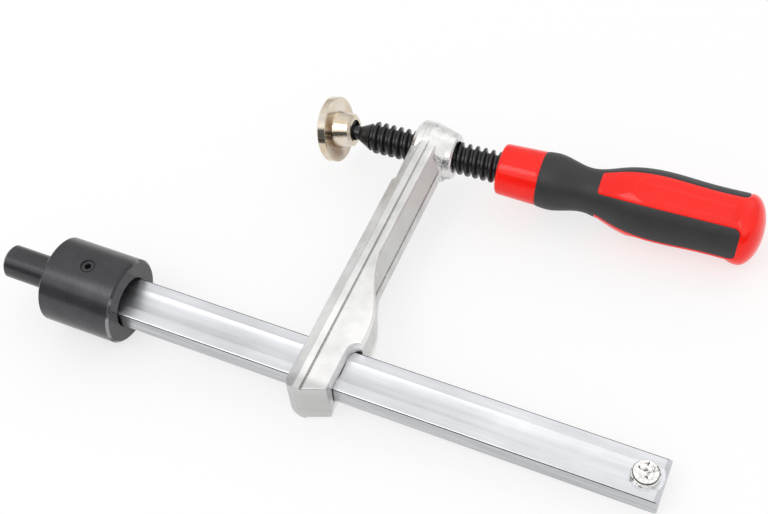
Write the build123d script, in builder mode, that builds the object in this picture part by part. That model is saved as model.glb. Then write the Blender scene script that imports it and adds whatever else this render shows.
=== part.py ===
"""Bar clamp with a round peg for the holes of a welding table.

The clamp lies on its side, as in the photograph. The origin is the middle of the shoulder that
stands on the table top: X runs along the bar from that shoulder to the stop rivet, Y from the bar
to the screw, and Z is up. Sizes are in millimetres. The screw leans a little away from the bar,
so that its pad stands square on the work once the arm has canted under load.
"""
import os
from math import radians, sqrt, tan

from build123d import *

os.makedirs("parts", exist_ok=True)

# Bar
bar_width = 21.0
bar_thickness = 10.5
bar_end_x = 290.5
bar_corner = 0.7
bar_end_bevel = 2.2
bar_end_drop = 1.2
groove_width = 10.4
groove_depth = 0.9

# Collar and table pin
collar_radius = 20.2
collar_length = 37.2
collar_wall = 8.0
collar_front_bevel = 1.0
collar_rear_bevel = 0.6
bore_clearance = 0.2
pin_radius = 7.95
pin_length = 28.6
pin_bevel = 1.2
pin_stub_radius = 7.5
pin_hole_bevel = 0.95

# Grub screw that holds the bar in the collar
grub_x = 19.3
grub_radius = 3.0
grub_sink = 0.5
grub_socket_flats = 3.0
grub_socket_depth = 3.0
grub_tip_radius = 2.0
grub_tip_length = 1.2

# Stop rivet
rivet_from_end = 8.6
rivet_shank_radius = 3.0
rivet_head_radius = 6.1
rivet_head_height = 3.0
rivet_head_edge = 0.9

# Sliding arm: flange towards the work, web behind it, block around the bar
arm_x = 125.6
throat = 121.5
slot_play_across = 0.6
slot_play_thick = 0.3
flange_half = 13.5
flange_depth = 8.8
flange_bevel_depth = 5.4
flange_bevel_drop = 4.0
foot_wall = 8.2
foot_slant = 4.2
foot_round = 5.0
cheek_half = 12.7
cheek_length = 19.5
block_length = 24.6
cove_radius = 5.0
block_wall = 6.0
wedge_middle = 42.0
wedge_middle_step = 8.6
strip_step = 3.8
strip_round = 1.5
strip_low = 84.0
web_half = 3.5
web_depth = 17.7
web_edge = 0.4
web_foot = 52.0
cast_edge = 0.8

# Boss of the arm, on the screw's own axis
screw_lean = 2.6
boss_step = 0.6
boss_length = 20.6
boss_ring_radius = 14.5
boss_ring_length = 8.0
boss_ring_bevel = 2.0
boss_neck_radius = 14.0
boss_rear_radius = 11.4
boss_rear_edge = 0.8
boss_flare_shift = 3.6
boss_flare_radius = 13.6
boss_flare_rear_radius = 10.4
spot_face_radius = 31.0
spot_face_depth = 3.0

# Spindle, measured along its axis from the front of the boss
thread_radius = 8.0
thread_pitch = 4.0
thread_depth = 2.1
thread_crest = 1.2
thread_root = 1.2
thread_turn = -153.0
thread_overlap = 0.3
thread_clearance = 0.1
thread_start = -28.1
thread_lead_radius = 5.0
thread_lead_length = 6.6
neck_radius = 3.5
neck_cone_radius = 4.9
neck_cone_length = 2.9
ball_radius = 4.7
ball_to_thread = 10.1
tang_radius = 5.4
tang_flat = 4.4
tang_length = 44.0

# Pressure pad and the ring that keeps it on the ball
pad_radius = 16.3
pad_disc = 4.7
pad_edge = 0.6
pad_rear_edge = 0.25
pad_floor = 3.2
ball_clearance = 0.12
hub_radius = 9.5
hub_shoulder_radius = 8.0
hub_length = 8.9
hub_cone_length = 1.0
mouth_rim = 1.3
mouth_clearance = 0.45
ring_thickness = 0.8
ring_outer_radius = 5.35
ring_clearance = 0.15
ring_from_ball = 3.5
ring_split = 1.5
ring_room_front = 1.65
ring_room_rear = 0.5
ring_room_across = 1.0
pad_droop = 14.0
pad_swing = 1.7

# Handle, measured from its front face
handle_gap = 22.9
handle_length = 127.5
ferrule_front_radius = 11.6
ferrule_edge = 1.2
ferrule_radius = 13.4
ferrule_length = 20.5
bulge_radius = 13.9
bulge_at = 27.0
waist_radius = 10.9
waist_at = 43.5
shoulder_radius = 14.9
shoulder_at = 58.5
belly_radius = 17.8
belly_from_end = 48.5
saddle_radius = 17.0
saddle_from_end = 28.5
tail_radius = 17.1
dome_length = 9.0
panel_start = 49.5
panel_rim = 1.2
panel_turn = 100.0
panel_count = 3
grip_skin = 2.2

# Places worked out from the sizes above
bar_half_width = bar_width / 2
bar_half_thick = bar_thickness / 2
groove_floor = bar_half_thick - groove_depth
groove_radius = (groove_width**2 / 4 + groove_depth**2) / (2 * groove_depth)
groove_centre = groove_floor + groove_radius
grub_seat = groove_centre - sqrt(groove_radius**2 - grub_tip_radius**2)
bore_radius = sqrt(bar_half_width**2 + bar_half_thick**2) + bore_clearance
rivet_x = bar_end_x - rivet_from_end
rivet_top = bar_half_thick + rivet_head_height
slot_half_width = bar_half_width + slot_play_across
slot_half_thick = bar_half_thick + slot_play_thick
foot_y = -(slot_half_width + foot_wall)
screw_y = bar_half_width + throat
panel_half_slope = tan(radians(90 / panel_count))
belly_at = handle_length - belly_from_end
saddle_at = handle_length - saddle_from_end
tail_at = handle_length - dome_length
panel_end = tail_at - panel_rim
grip_stations = [
    (ferrule_length, ferrule_radius),
    (bulge_at, bulge_radius),
    (waist_at, waist_radius),
    (shoulder_at, shoulder_radius),
    (belly_at, belly_radius),
    (saddle_at, saddle_radius),
    (tail_at, tail_radius),
]
screw_plane = Plane((arm_x + boss_step, screw_y, 0), x_dir=(1, 0, 0), z_dir=(0, 0, 1))
screw_plane = screw_plane.rotated((0, 0, screw_lean))
screw_axis = Axis(screw_plane.origin, screw_plane.x_dir)
screw_across = Plane(screw_plane.origin, x_dir=screw_plane.y_dir, z_dir=screw_plane.x_dir)
flare_origin = screw_plane.from_local_coords((0, -boss_flare_shift, 0))
flare_plane = Plane(flare_origin, x_dir=screw_plane.x_dir, z_dir=screw_plane.z_dir)
ball_at = thread_start - ball_to_thread
handle_at = boss_length + handle_gap
ball_centre = screw_plane.from_local_coords((ball_at, 0, 0))
droop_slopes = Vector(1, tan(radians(pad_swing)), tan(radians(pad_droop)))
pad_axis_dir = screw_plane.from_local_coords(droop_slopes) - screw_plane.origin
pad_plane = Plane(ball_centre, x_dir=pad_axis_dir, z_dir=pad_axis_dir.cross(screw_plane.y_dir))
pad_axis = Axis(pad_plane.origin, pad_plane.x_dir)


with BuildPart() as bar:
    with BuildSketch(Plane.YZ.offset(collar_wall)) as bar_section:
        RectangleRounded(bar_width, bar_thickness, bar_corner)
        with Locations((0, groove_centre), (0, -groove_centre)):
            Circle(groove_radius, mode=Mode.SUBTRACT)
    extrude(amount=bar_end_x - collar_wall)
    for side in (1, -1):
        with BuildSketch(Plane.XY.offset(side * groove_floor)):
            with Locations((rivet_x, 0)):
                Circle(rivet_head_radius)
        extrude(amount=side * groove_depth, mode=Mode.SUBTRACT)
    with Locations((rivet_x, 0)):
        Cylinder(rivet_shank_radius, bar_thickness, mode=Mode.SUBTRACT)
    with BuildSketch(Plane.XZ) as bar_end_wedges:
        for side in (1, -1):
            Polygon(
                (bar_end_x - bar_end_bevel, side * bar_half_thick),
                (bar_end_x, side * bar_half_thick),
                (bar_end_x, side * (bar_half_thick - bar_end_drop)),
                align=None,
            )
    extrude(amount=bar_width, both=True, mode=Mode.SUBTRACT)
bar.part.label = "bar"
export_step(bar.part, "parts/bar.step")

with BuildPart() as collar:
    with BuildSketch(Plane.XY) as collar_half:
        with BuildLine():
            Polyline(
                (pin_hole_bevel, pin_stub_radius),
                (0, pin_stub_radius + pin_hole_bevel),
                (0, collar_radius - collar_rear_bevel),
                (collar_rear_bevel, collar_radius),
                (collar_length - collar_front_bevel, collar_radius),
                (collar_length, collar_radius - collar_front_bevel),
                (collar_length, bore_radius),
                (collar_wall, bore_radius),
                (collar_wall, pin_stub_radius),
                close=True,
            )
        make_face()
    revolve(axis=Axis.X)
    with BuildSketch(Plane.XY):
        with Locations((grub_x, 0)):
            Circle(grub_radius)
    extrude(amount=collar_radius, mode=Mode.SUBTRACT)
collar.part.label = "collar"
export_step(collar.part, "parts/collar.step")

with BuildPart() as table_pin:
    with BuildSketch(Plane.XY) as pin_half:
        with BuildLine():
            Polyline(
                (-pin_length, 0),
                (-pin_length, pin_radius - pin_bevel),
                (pin_bevel - pin_length, pin_radius),
                (0, pin_radius),
                (pin_radius - pin_stub_radius, pin_stub_radius),
                (collar_wall, pin_stub_radius),
                (collar_wall, 0),
                close=True,
            )
        make_face()
    revolve(axis=Axis.X)
table_pin.part.label = "table_pin"
export_step(table_pin.part, "parts/table_pin.step")

with BuildPart() as grub_screw:
    grub_top = collar_radius - grub_sink
    with BuildSketch(Plane.XY.offset(grub_seat)):
        with Locations((grub_x, 0)):
            Circle(grub_radius)
    extrude(amount=grub_top - grub_seat)
    chamfer(
        grub_screw.edges().filter_by(GeomType.CIRCLE).sort_by(Axis.Z)[0],
        length=grub_tip_length,
        length2=grub_radius - grub_tip_radius,
    )
    with BuildSketch(Plane.XY.offset(grub_top)):
        with Locations((grub_x, 0)):
            RegularPolygon(grub_socket_flats / sqrt(3), 6)
    extrude(amount=-grub_socket_depth, mode=Mode.SUBTRACT)
grub_screw.part.label = "grub_screw"
export_step(grub_screw.part, "parts/grub_screw.step")

with BuildPart() as stop_rivet:
    with Locations((rivet_x, 0)):
        Cylinder(rivet_shank_radius, 2 * groove_floor)
    for side in (1, -1):
        with BuildSketch(Plane.XY.offset(side * groove_floor)):
            with Locations((rivet_x, 0)):
                Circle(rivet_head_radius)
        extrude(amount=side * (rivet_top - groove_floor))
    head_rims = stop_rivet.edges().filter_by(GeomType.CIRCLE).group_by(Axis.Z)
    chamfer(head_rims[-1] + head_rims[0], rivet_head_edge)
stop_rivet.part.label = "stop_rivet"
export_step(stop_rivet.part, "parts/stop_rivet.step")

# Stations of the arm, from its front face back
bevel_rear = arm_x + flange_bevel_depth
flange_rear = arm_x + flange_depth
web_rear = arm_x + web_depth
strip_rear = flange_rear + strip_step
wedge_top = strip_rear - strip_round
cheek_rear = arm_x + cheek_length
block_rear = arm_x + block_length
block_y = slot_half_width + block_wall
along_arm = Plane((0, foot_y, 0), x_dir=(1, 0, 0), z_dir=(0, 1, 0))

# Block around the bar, narrowing up the arm to a strip behind the flange
with BuildPart() as arm_block:
    with BuildSketch(Plane.XY) as block_side:
        with BuildLine():
            Polyline(
                (wedge_top, strip_low),
                (wedge_top, screw_y),
                (bevel_rear, screw_y),
                (bevel_rear, foot_y),
                (flange_rear, foot_y),
                (cheek_rear, foot_y + foot_slant),
                (cheek_rear, slot_half_width - cove_radius),
            )
            RadiusArc(
                (cheek_rear, slot_half_width - cove_radius),
                (cheek_rear + cove_radius, slot_half_width),
                cove_radius,
            )
            Line((cheek_rear + cove_radius, slot_half_width), (block_rear, block_y))
            Spline(
                (block_rear, block_y),
                (flange_rear + wedge_middle_step, wedge_middle),
                (wedge_top, strip_low),
                tangents=((0, 1), (0, 1)),
            )
        make_face()
    extrude(amount=cheek_half, both=True)
    fillet(arm_block.edges().group_by(Axis.Z)[0] + arm_block.edges().group_by(Axis.Z)[-1], cast_edge)

# Stem behind the flange: a strip that slopes down to the web
with BuildPart() as arm_stem:
    with BuildSketch(along_arm.offset(block_y - foot_y)) as stem_section:
        with BuildLine():
            Polyline(
                (bevel_rear, -cheek_half),
                (strip_rear, -cheek_half),
                (web_rear, -web_half),
                (web_rear, web_half),
                (strip_rear, cheek_half),
                (bevel_rear, cheek_half),
                close=True,
            )
        make_face()
        fillet(stem_section.vertices().group_by(Axis.X)[1], strip_round)
        fillet(stem_section.vertices().group_by(Axis.X)[-1], web_edge)
    extrude(amount=screw_y - block_y)

# Foot of the web, deeper where it runs into the block
with BuildPart() as arm_web:
    with BuildSketch(Plane.XY) as web_side:
        web_bend = (block_rear + 2 * web_rear) / 3
        web_foot_middle = (block_y + web_foot) / 2
        with BuildLine():
            Polyline(
                (web_rear, web_foot),
                (flange_rear, web_foot),
                (flange_rear, block_y),
                (block_rear, block_y),
            )
            Bezier(
                (block_rear, block_y),
                (web_bend, web_foot_middle),
                (web_rear, web_foot_middle),
                (web_rear, web_foot),
            )
        make_face()
    extrude(amount=web_half, both=True)
    fillet(arm_web.edges().filter_by(GeomType.BEZIER), web_edge)

with BuildPart() as sliding_arm:
    with BuildSketch(along_arm) as flange_section:
        bevel_half = flange_half - flange_bevel_drop
        with BuildLine():
            Polyline(
                (arm_x, -bevel_half),
                (bevel_rear, -flange_half),
                (flange_rear, -flange_half),
                (flange_rear, flange_half),
                (bevel_rear, flange_half),
                (arm_x, bevel_half),
                close=True,
            )
        make_face()
    extrude(amount=screw_y - foot_y)
    front_edges = sliding_arm.edges().filter_by(Axis.Z).group_by(Axis.X)[0]
    fillet(front_edges.group_by(Axis.Y)[0], foot_round)
    fillet(sliding_arm.edges().filter_by(Axis.Y), cast_edge)
    add(arm_stem.part)
    add(arm_block.part)
    add(arm_web.part)
    with BuildSketch(screw_plane) as boss_half:
        with BuildLine():
            Polyline(
                (0, 0),
                (0, boss_ring_radius - boss_ring_bevel),
                (boss_ring_bevel, boss_ring_radius),
                (boss_ring_length, boss_ring_radius),
                (boss_ring_length + boss_ring_bevel, boss_neck_radius),
                (boss_length - boss_rear_edge, boss_rear_radius),
                (boss_length, boss_rear_radius - boss_rear_edge),
                (boss_length, 0),
                close=True,
            )
        make_face()
    revolve(axis=screw_axis)
    flare_rear = web_depth - boss_step
    with BuildSketch(flare_plane) as flare_half:
        Polygon(
            (boss_ring_length, 0),
            (boss_ring_length, boss_flare_radius),
            (flare_rear, boss_flare_rear_radius),
            (flare_rear, 0),
            align=None,
        )
    revolve(axis=Axis(flare_plane.origin, flare_plane.x_dir))
    with BuildSketch(screw_across):
        Circle(spot_face_radius)
    extrude(amount=-spot_face_depth, mode=Mode.SUBTRACT)
    with BuildSketch(screw_across):
        Circle(thread_radius + thread_clearance)
    extrude(amount=boss_length, mode=Mode.SUBTRACT)
    with BuildSketch(Plane.YZ):
        Rectangle(2 * slot_half_width, 2 * slot_half_thick)
    extrude(amount=2 * block_rear, mode=Mode.SUBTRACT)
sliding_arm.part.label = "sliding_arm"
export_step(sliding_arm.part, "parts/sliding_arm.step")

# Thread, wound up the Z axis first
thread_place = screw_across.offset(thread_start).location * Rot(0, 0, thread_turn)
root_radius = thread_radius - thread_depth
with BuildPart() as thread_ridge:
    with BuildLine() as thread_line:
        Helix(thread_pitch, handle_at - thread_start - thread_pitch / 2, root_radius)
    thread_base = (thread_pitch - thread_root) / 2
    with BuildSketch(Plane(thread_line.line @ 0, x_dir=(1, 0, 0), z_dir=thread_line.line % 0)):
        Polygon(
            (-thread_overlap, -thread_base),
            (0, -thread_base),
            (thread_depth, -thread_crest / 2),
            (thread_depth, thread_crest / 2),
            (0, thread_base),
            (-thread_overlap, thread_base),
            align=None,
        )
    sweep(is_frenet=True)

with BuildPart() as spindle:
    neck_on_ball = sqrt(ball_radius**2 - neck_radius**2)
    with BuildSketch(screw_plane) as spindle_half:
        with BuildLine():
            ThreePointArc(
                (ball_at - ball_radius, 0),
                (ball_at, ball_radius),
                (ball_at + neck_on_ball, neck_radius),
            )
            Polyline(
                (ball_at + neck_on_ball, neck_radius),
                (thread_start - neck_cone_length, neck_radius),
                (thread_start, neck_cone_radius),
                (thread_start, root_radius),
                (handle_at, root_radius),
                (handle_at, tang_radius),
                (handle_at + tang_length, tang_radius),
                (handle_at + tang_length, 0),
                (ball_at - ball_radius, 0),
            )
        make_face()
    revolve(axis=screw_axis)
    add(thread_ridge.part.moved(thread_place))
    with BuildSketch(screw_plane) as lead_half:
        thread_outside = thread_radius + thread_clearance
        with BuildLine():
            Polyline(
                (thread_start - thread_pitch / 2, neck_cone_radius),
                (thread_start, thread_lead_radius),
                (thread_start + thread_lead_length, thread_outside),
                (thread_start - thread_pitch / 2, thread_outside),
                close=True,
            )
        make_face()
    revolve(axis=screw_axis, mode=Mode.SUBTRACT)
    with BuildSketch(screw_across.offset(handle_at)):
        Rectangle(2 * thread_radius, 2 * thread_radius)
        Rectangle(2 * tang_flat, 2 * thread_radius, mode=Mode.SUBTRACT)
    extrude(amount=tang_length, mode=Mode.SUBTRACT)
spindle.part.label = "spindle"
export_step(spindle.part, "parts/spindle.step")

# Pad on its own axis, measured from the middle of the ball
with BuildPart() as pressure_pad:
    mouth_radius = ball_radius + mouth_clearance
    socket_radius = ball_radius + ball_clearance
    pad_front = -(socket_radius + pad_floor)
    disc_rear = pad_front + pad_disc
    hub_rear = disc_rear + hub_length
    room_radius = ring_outer_radius + ring_room_across
    room_start = ring_from_ball - ring_thickness / 2 - ring_room_front
    room_end = ring_from_ball + ring_thickness / 2 + ring_room_rear
    with BuildSketch(pad_plane) as pad_half:
        with BuildLine():
            Polyline(
                (-socket_radius, 0),
                (pad_front, 0),
                (pad_front, pad_radius - pad_edge),
                (pad_front + pad_edge, pad_radius),
                (disc_rear - pad_rear_edge, pad_radius),
                (disc_rear, pad_radius - pad_rear_edge),
                (disc_rear, hub_radius),
                (hub_rear - hub_cone_length, hub_shoulder_radius),
                (hub_rear, mouth_radius + mouth_rim),
                (hub_rear, mouth_radius),
                (room_end, mouth_radius),
                (room_end, room_radius),
                (room_start, room_radius),
                (room_start, mouth_radius),
                (0, mouth_radius),
                (0, socket_radius),
            )
            RadiusArc((0, socket_radius), (-socket_radius, 0), -socket_radius)
        make_face()
    revolve(axis=pad_axis)
pressure_pad.part.label = "pressure_pad"
export_step(pressure_pad.part, "parts/pressure_pad.step")

with BuildPart() as ball_snap_ring:
    with BuildSketch(screw_across.offset(ball_at + ring_from_ball - ring_thickness / 2)):
        Circle(ring_outer_radius)
        Circle(neck_radius + ring_clearance, mode=Mode.SUBTRACT)
        with Locations((0, -ring_outer_radius)):
            Rectangle(ring_split, 2 * ring_outer_radius, mode=Mode.SUBTRACT)
    extrude(amount=ring_thickness)
ball_snap_ring.part.label = "ball_snap_ring"
export_step(ball_snap_ring.part, "parts/ball_snap_ring.step")


def grip_curve(skin):
    """Points along the handle from the ferrule to the tail, a skin below its surface."""
    return [(handle_at + at, radius - skin) for at, radius in grip_stations]


def handle_half():
    """Half section of the whole handle, grip and all."""
    with BuildSketch(screw_plane) as half:
        with BuildLine():
            Polyline(
                (handle_at, 0),
                (handle_at, ferrule_front_radius),
                (handle_at + ferrule_edge, ferrule_front_radius + ferrule_edge),
                (handle_at + ferrule_length, ferrule_radius),
            )
            Spline(*grip_curve(0))
            EllipticalCenterArc((handle_at + tail_at, 0), handle_length - tail_at, tail_radius)
            Line((handle_at + handle_length, 0), (handle_at, 0))
        make_face()
    return half.sketch


# Room of the soft grip: a full sleeve at the waist, then strips between the hard panels
with BuildPart() as grip_room:
    room_top = 2 * belly_radius
    with BuildSketch(screw_plane) as room_half:
        with BuildLine():
            Spline(*grip_curve(grip_skin))
            Polyline(
                (handle_at + ferrule_length, ferrule_radius - grip_skin),
                (handle_at + ferrule_length, room_top),
                (handle_at + tail_at, room_top),
                (handle_at + tail_at, tail_radius - grip_skin),
            )
        make_face()
    revolve(axis=screw_axis)
    with BuildSketch(screw_across.offset(handle_at + panel_end)):
        Circle(2 * room_top)
    extrude(amount=handle_length, mode=Mode.SUBTRACT)
    with BuildSketch(screw_across.offset(handle_at + panel_start)):
        panel_reach = 2 * room_top
        with PolarLocations(0, panel_count, start_angle=panel_turn):
            Polygon(
                (0, 0),
                (panel_reach, -panel_reach * panel_half_slope),
                (panel_reach, panel_reach * panel_half_slope),
                align=None,
            )
    extrude(amount=handle_length, mode=Mode.SUBTRACT)

with BuildPart() as handle_grip:
    revolve(handle_half(), axis=screw_axis)
    add(grip_room.part, mode=Mode.INTERSECT)
handle_grip.part.label = "handle_grip"
export_step(handle_grip.part, "parts/handle_grip.step")

with BuildPart() as handle_core:
    revolve(handle_half(), axis=screw_axis)
    add(grip_room.part, mode=Mode.SUBTRACT)
    with BuildSketch(screw_across.offset(handle_at)):
        Circle(tang_radius)
        Rectangle(2 * tang_flat, 2 * tang_radius, mode=Mode.INTERSECT)
    extrude(amount=tang_length, mode=Mode.SUBTRACT)
handle_core.part.label = "handle_core"
export_step(handle_core.part, "parts/handle_core.step")
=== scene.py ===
"""Looks of the bar clamp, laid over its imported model. Metres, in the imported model's frame."""

from math import cos, pi, radians, sin

import bpy
import numpy as np
from mathutils import Matrix, Vector


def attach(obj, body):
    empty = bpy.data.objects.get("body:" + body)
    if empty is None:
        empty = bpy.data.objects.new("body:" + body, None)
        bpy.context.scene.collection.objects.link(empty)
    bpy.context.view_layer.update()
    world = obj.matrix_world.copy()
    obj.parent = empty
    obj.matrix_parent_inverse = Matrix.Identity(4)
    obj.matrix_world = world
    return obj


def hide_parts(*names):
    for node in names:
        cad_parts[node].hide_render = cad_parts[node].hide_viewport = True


bl_info = {
    "name": "Bar Clamp Looks",
    "version": (1, 0, 0),
    "blender": (4, 5, 0),
    "location": "3D View > Sidebar > Clamp",
    "description": "Finishes the pieces of a screw bar clamp and sets up its studio",
    "category": "Object",
}

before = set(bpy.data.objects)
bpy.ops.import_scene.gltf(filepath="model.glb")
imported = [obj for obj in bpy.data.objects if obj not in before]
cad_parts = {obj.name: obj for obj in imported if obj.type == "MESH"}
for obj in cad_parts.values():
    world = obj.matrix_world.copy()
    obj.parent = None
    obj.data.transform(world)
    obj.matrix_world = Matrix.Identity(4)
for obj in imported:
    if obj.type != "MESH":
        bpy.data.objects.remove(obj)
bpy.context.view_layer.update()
MM = 0.001
CREASE = 35.0  # Degrees between two faces, above which their edge stays sharp

# The screw's own frame: its origin is the middle of the boss's front face
SCREW_LEAN = radians(2.6)
SCREW_ORIGIN = np.array([126.2, 132.0, 0.0]) * MM
SCREW_ALONG = np.array([cos(SCREW_LEAN), sin(SCREW_LEAN), 0.0])
SCREW_ACROSS = np.array([-sin(SCREW_LEAN), cos(SCREW_LEAN), 0.0])
UP = np.array([0.0, 0.0, 1.0])


# Surfaces

def smooth(x):
    """Rises from 0 to 1 as x does, level at both ends: 3x^2 - 2x^3."""
    x = np.clip(x, 0.0, 1.0)
    return x * x * (3.0 - 2.0 * x)


def crowded(count, ends=0.7):
    """Steps from 0 to 1, closer at both ends: t minus a sine of a whole turn."""
    t = np.linspace(0.0, 1.0, count, endpoint=False)
    return t - ends * np.sin(2 * pi * t) / (2 * pi)


def curve_through(stations, at):
    """Natural cubic spline through (place, value) stations: its second derivative is zero at both ends."""
    x, y = np.array(stations, float).T
    h = np.diff(x)
    n = len(x)
    system = np.eye(n)
    right = np.zeros(n)
    for i in range(1, n - 1):
        system[i, i - 1:i + 2] = h[i - 1], 2 * (h[i - 1] + h[i]), h[i]
        right[i] = 6 * ((y[i + 1] - y[i]) / h[i] - (y[i] - y[i - 1]) / h[i - 1])
    bend = np.linalg.solve(system, right)
    k = np.clip(np.searchsorted(x, at, side="right") - 1, 0, n - 2)
    left, ahead = x[k + 1] - at, at - x[k]
    return (
        (bend[k] * left**3 + bend[k + 1] * ahead**3) / (6 * h[k])
        + (y[k] / h[k] - bend[k] * h[k] / 6) * left
        + (y[k + 1] / h[k] - bend[k + 1] * h[k] / 6) * ahead
    )


def on_screw(along, radius, turn):
    """Points in metres at a place along the screw and a radius, both in mm, turned from Y towards Z."""
    along, radius, turn = np.broadcast_arrays(along, radius, turn)
    return (
        SCREW_ORIGIN
        + MM * along[..., None] * SCREW_ALONG
        + MM * (radius * np.cos(turn))[..., None] * SCREW_ACROSS
        + MM * (radius * np.sin(turn))[..., None] * UP
    )


def ring_grid(rows, columns):
    """Indices of a grid whose columns close into rings, and for each one the index beside it."""
    index = np.arange(rows * columns).reshape(rows, columns)
    return index, np.roll(index, -1, axis=1)


def placed(name, data):
    """New object of this data, in the scene."""
    made = bpy.data.objects.new(name, data)
    bpy.context.scene.collection.objects.link(made)
    return made


def solid_from(name, corners, faces, crease):
    """Mesh object of these corners and faces, facing outwards, smooth but for creases over an angle in degrees."""
    fan = [(f[:, 0], f[:, i], f[:, i + 1]) for f in faces for i in range(1, f.shape[1] - 1)]
    volume = sum(np.einsum("ij,ij->", corners[a], np.cross(corners[b], corners[c])) for a, b, c in fan)
    if volume < 0:
        faces = [f[:, ::-1] for f in faces]
    mesh = bpy.data.meshes.new(name)
    mesh.from_pydata(corners.tolist(), [], [face for f in faces for face in f.tolist()])
    mesh.shade_smooth()
    mesh.set_sharp_from_angle(angle=radians(crease))
    mesh.update()
    return placed(name, mesh)


def turned(name, points, crease=CREASE):
    """Solid from rings of points (rows, columns, 3), closed by a fan to the middle of each end ring."""
    rows, columns = points.shape[:2]
    index, beside = ring_grid(rows, columns)
    quads = np.stack([index[:-1], beside[:-1], beside[1:], index[1:]], axis=-1).reshape(-1, 4)
    corners = np.vstack([points.reshape(-1, 3), points[0].mean(axis=0), points[-1].mean(axis=0)])
    first = np.full(columns, rows * columns)
    start = np.stack([beside[0], index[0], first], axis=-1)
    end = np.stack([index[-1], beside[-1], first + 1], axis=-1)
    return solid_from(name, corners, [quads, start, end], crease)


def shell(name, outer, inner, kept):
    """Solid wall between two grids of points, only where kept is true for a grid cell. Rims join the two grids."""
    rows, columns = outer.shape[:2]
    index, beside = ring_grid(rows, columns)
    deep = rows * columns
    a, b, c, d = index[:-1][kept], beside[:-1][kept], beside[1:][kept], index[1:][kept]
    faces = [np.stack([a, b, c, d], axis=-1), np.stack([d, c, b, a], axis=-1) + deep]
    padded = np.vstack([np.zeros((1, columns), bool), kept, np.zeros((1, columns), bool)])
    for open_side, p, q in (
        (~padded[:-2], index[:-1], beside[:-1]),
        (~padded[2:], beside[1:], index[1:]),
        (~np.roll(kept, -1, axis=1), beside[:-1], beside[1:]),
        (~np.roll(kept, 1, axis=1), index[1:], index[:-1]),
    ):
        rim = kept & open_side
        faces.append(np.stack([q[rim], p[rim], p[rim] + deep, q[rim] + deep], axis=-1))
    corners = np.vstack([outer.reshape(-1, 3), inner.reshape(-1, 3)])
    used = np.unique(np.concatenate([f.ravel() for f in faces]))
    place = np.zeros(len(corners), int)
    place[used] = np.arange(len(used))
    return solid_from(name, corners[used], [place[f] for f in faces], CREASE)


# Shader nodes

def fill(tree, socket, value):
    """Gives an input socket its value: a link from another socket, or a constant."""
    if isinstance(value, bpy.types.NodeSocket):
        tree.links.new(value, socket)
    else:
        socket.default_value = value


def feed(tree, made, **values):
    """Fills a node's inputs. Each is named with an underscore for each space."""
    for key, value in values.items():
        fill(tree, made.inputs[key.replace("_", " ")], value)


def node(tree, kind, **settings):
    """New node. A setting fills a socket, or sets a property if no socket has that name."""
    made = tree.nodes.new(kind)
    for key, value in settings.items():
        label = key.replace("_", " ").lower()
        sockets = {s.name.lower(): s for s in made.inputs if s.enabled}
        if label in sockets:
            fill(tree, sockets[label], value)
        else:
            setattr(made, key, value)
    return made


def finish_of(name, colour, metallic, roughness):
    """New material: the material, its tree, and its Principled node."""
    material = bpy.data.materials.new(name)
    material.use_nodes = True
    tree = material.node_tree
    surface = tree.nodes["Principled BSDF"]
    feed(tree, surface, Base_Color=(*colour, 1.0), Metallic=metallic, Roughness=roughness)
    return material, tree, surface


def scaled(colour, factor):
    """The colour times a factor, or times one factor for each channel, kept at 1 or less."""
    return tuple(np.minimum(1.0, np.multiply(tuple(colour), factor)).tolist())


def math(tree, operation, first, *others, clamp=False):
    """Math node on sockets or numbers, or a chain of them for more than two: returns the last output."""
    result = first
    for other in others or (None,):
        made = tree.nodes.new("ShaderNodeMath")
        made.operation, made.use_clamp = operation, clamp
        fill(tree, made.inputs[0], result)
        if other is not None:
            fill(tree, made.inputs[1], other)
        result = made.outputs[0]
    return result


def product(tree, *values):
    """Sockets or numbers multiplied together."""
    return math(tree, "MULTIPLY", *values)


def largest(tree, *values):
    """The largest of some sockets or numbers."""
    return math(tree, "MAXIMUM", *values)


def ramp(tree, value, low, high, from_low=0.0, from_high=1.0):
    """Clamped Map Range node from a socket's span to another: returns its output."""
    made = node(tree, "ShaderNodeMapRange", clamp=True, Value=value,
                From_Min=from_low, From_Max=from_high, To_Min=low, To_Max=high)
    return made.outputs["Result"]


def rise(tree, value, start, end, level=1.0):
    """0 up to the start, rising in a straight line to the level at the end."""
    return ramp(tree, value, 0.0, level, start, end)


def fall(tree, value, start, end, level=1.0):
    """The level up to the start, falling in a straight line to 0 at the end."""
    return ramp(tree, value, level, 0.0, start, end)


def tint(tree, factor, first, second):
    """Mix of two colours (sockets or triples) by a factor socket: returns its output."""
    made = node(tree, "ShaderNodeMix", data_type="RGBA")
    tree.links.new(factor, made.inputs["Factor"])
    for socket, colour in ((made.inputs[6], first), (made.inputs[7], second)):
        fill(tree, socket, colour if isinstance(colour, bpy.types.NodeSocket) else (*colour, 1.0))
    return made.outputs[2]


def xyz(tree, vector):
    """The X, Y and Z sockets of a vector."""
    return tuple(node(tree, "ShaderNodeSeparateXYZ", Vector=vector).outputs)


def from_axis(tree, vector, middle, axis):
    """Distance along an axis from a point on it, and distance from the axis, of a vector socket in metres."""
    away = node(tree, "ShaderNodeVectorMath", operation="SUBTRACT")
    fill(tree, away.inputs[0], vector)
    fill(tree, away.inputs[1], middle)
    offset = away.outputs["Vector"]
    dots = []
    for other in (axis, offset):
        dot = node(tree, "ShaderNodeVectorMath", operation="DOT_PRODUCT")
        fill(tree, dot.inputs[0], offset)
        fill(tree, dot.inputs[1], other)
        dots.append(dot.outputs["Value"])
    along, square = dots
    return along, math(tree, "SQRT", math(tree, "SUBTRACT", square, product(tree, along, along)))


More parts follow.
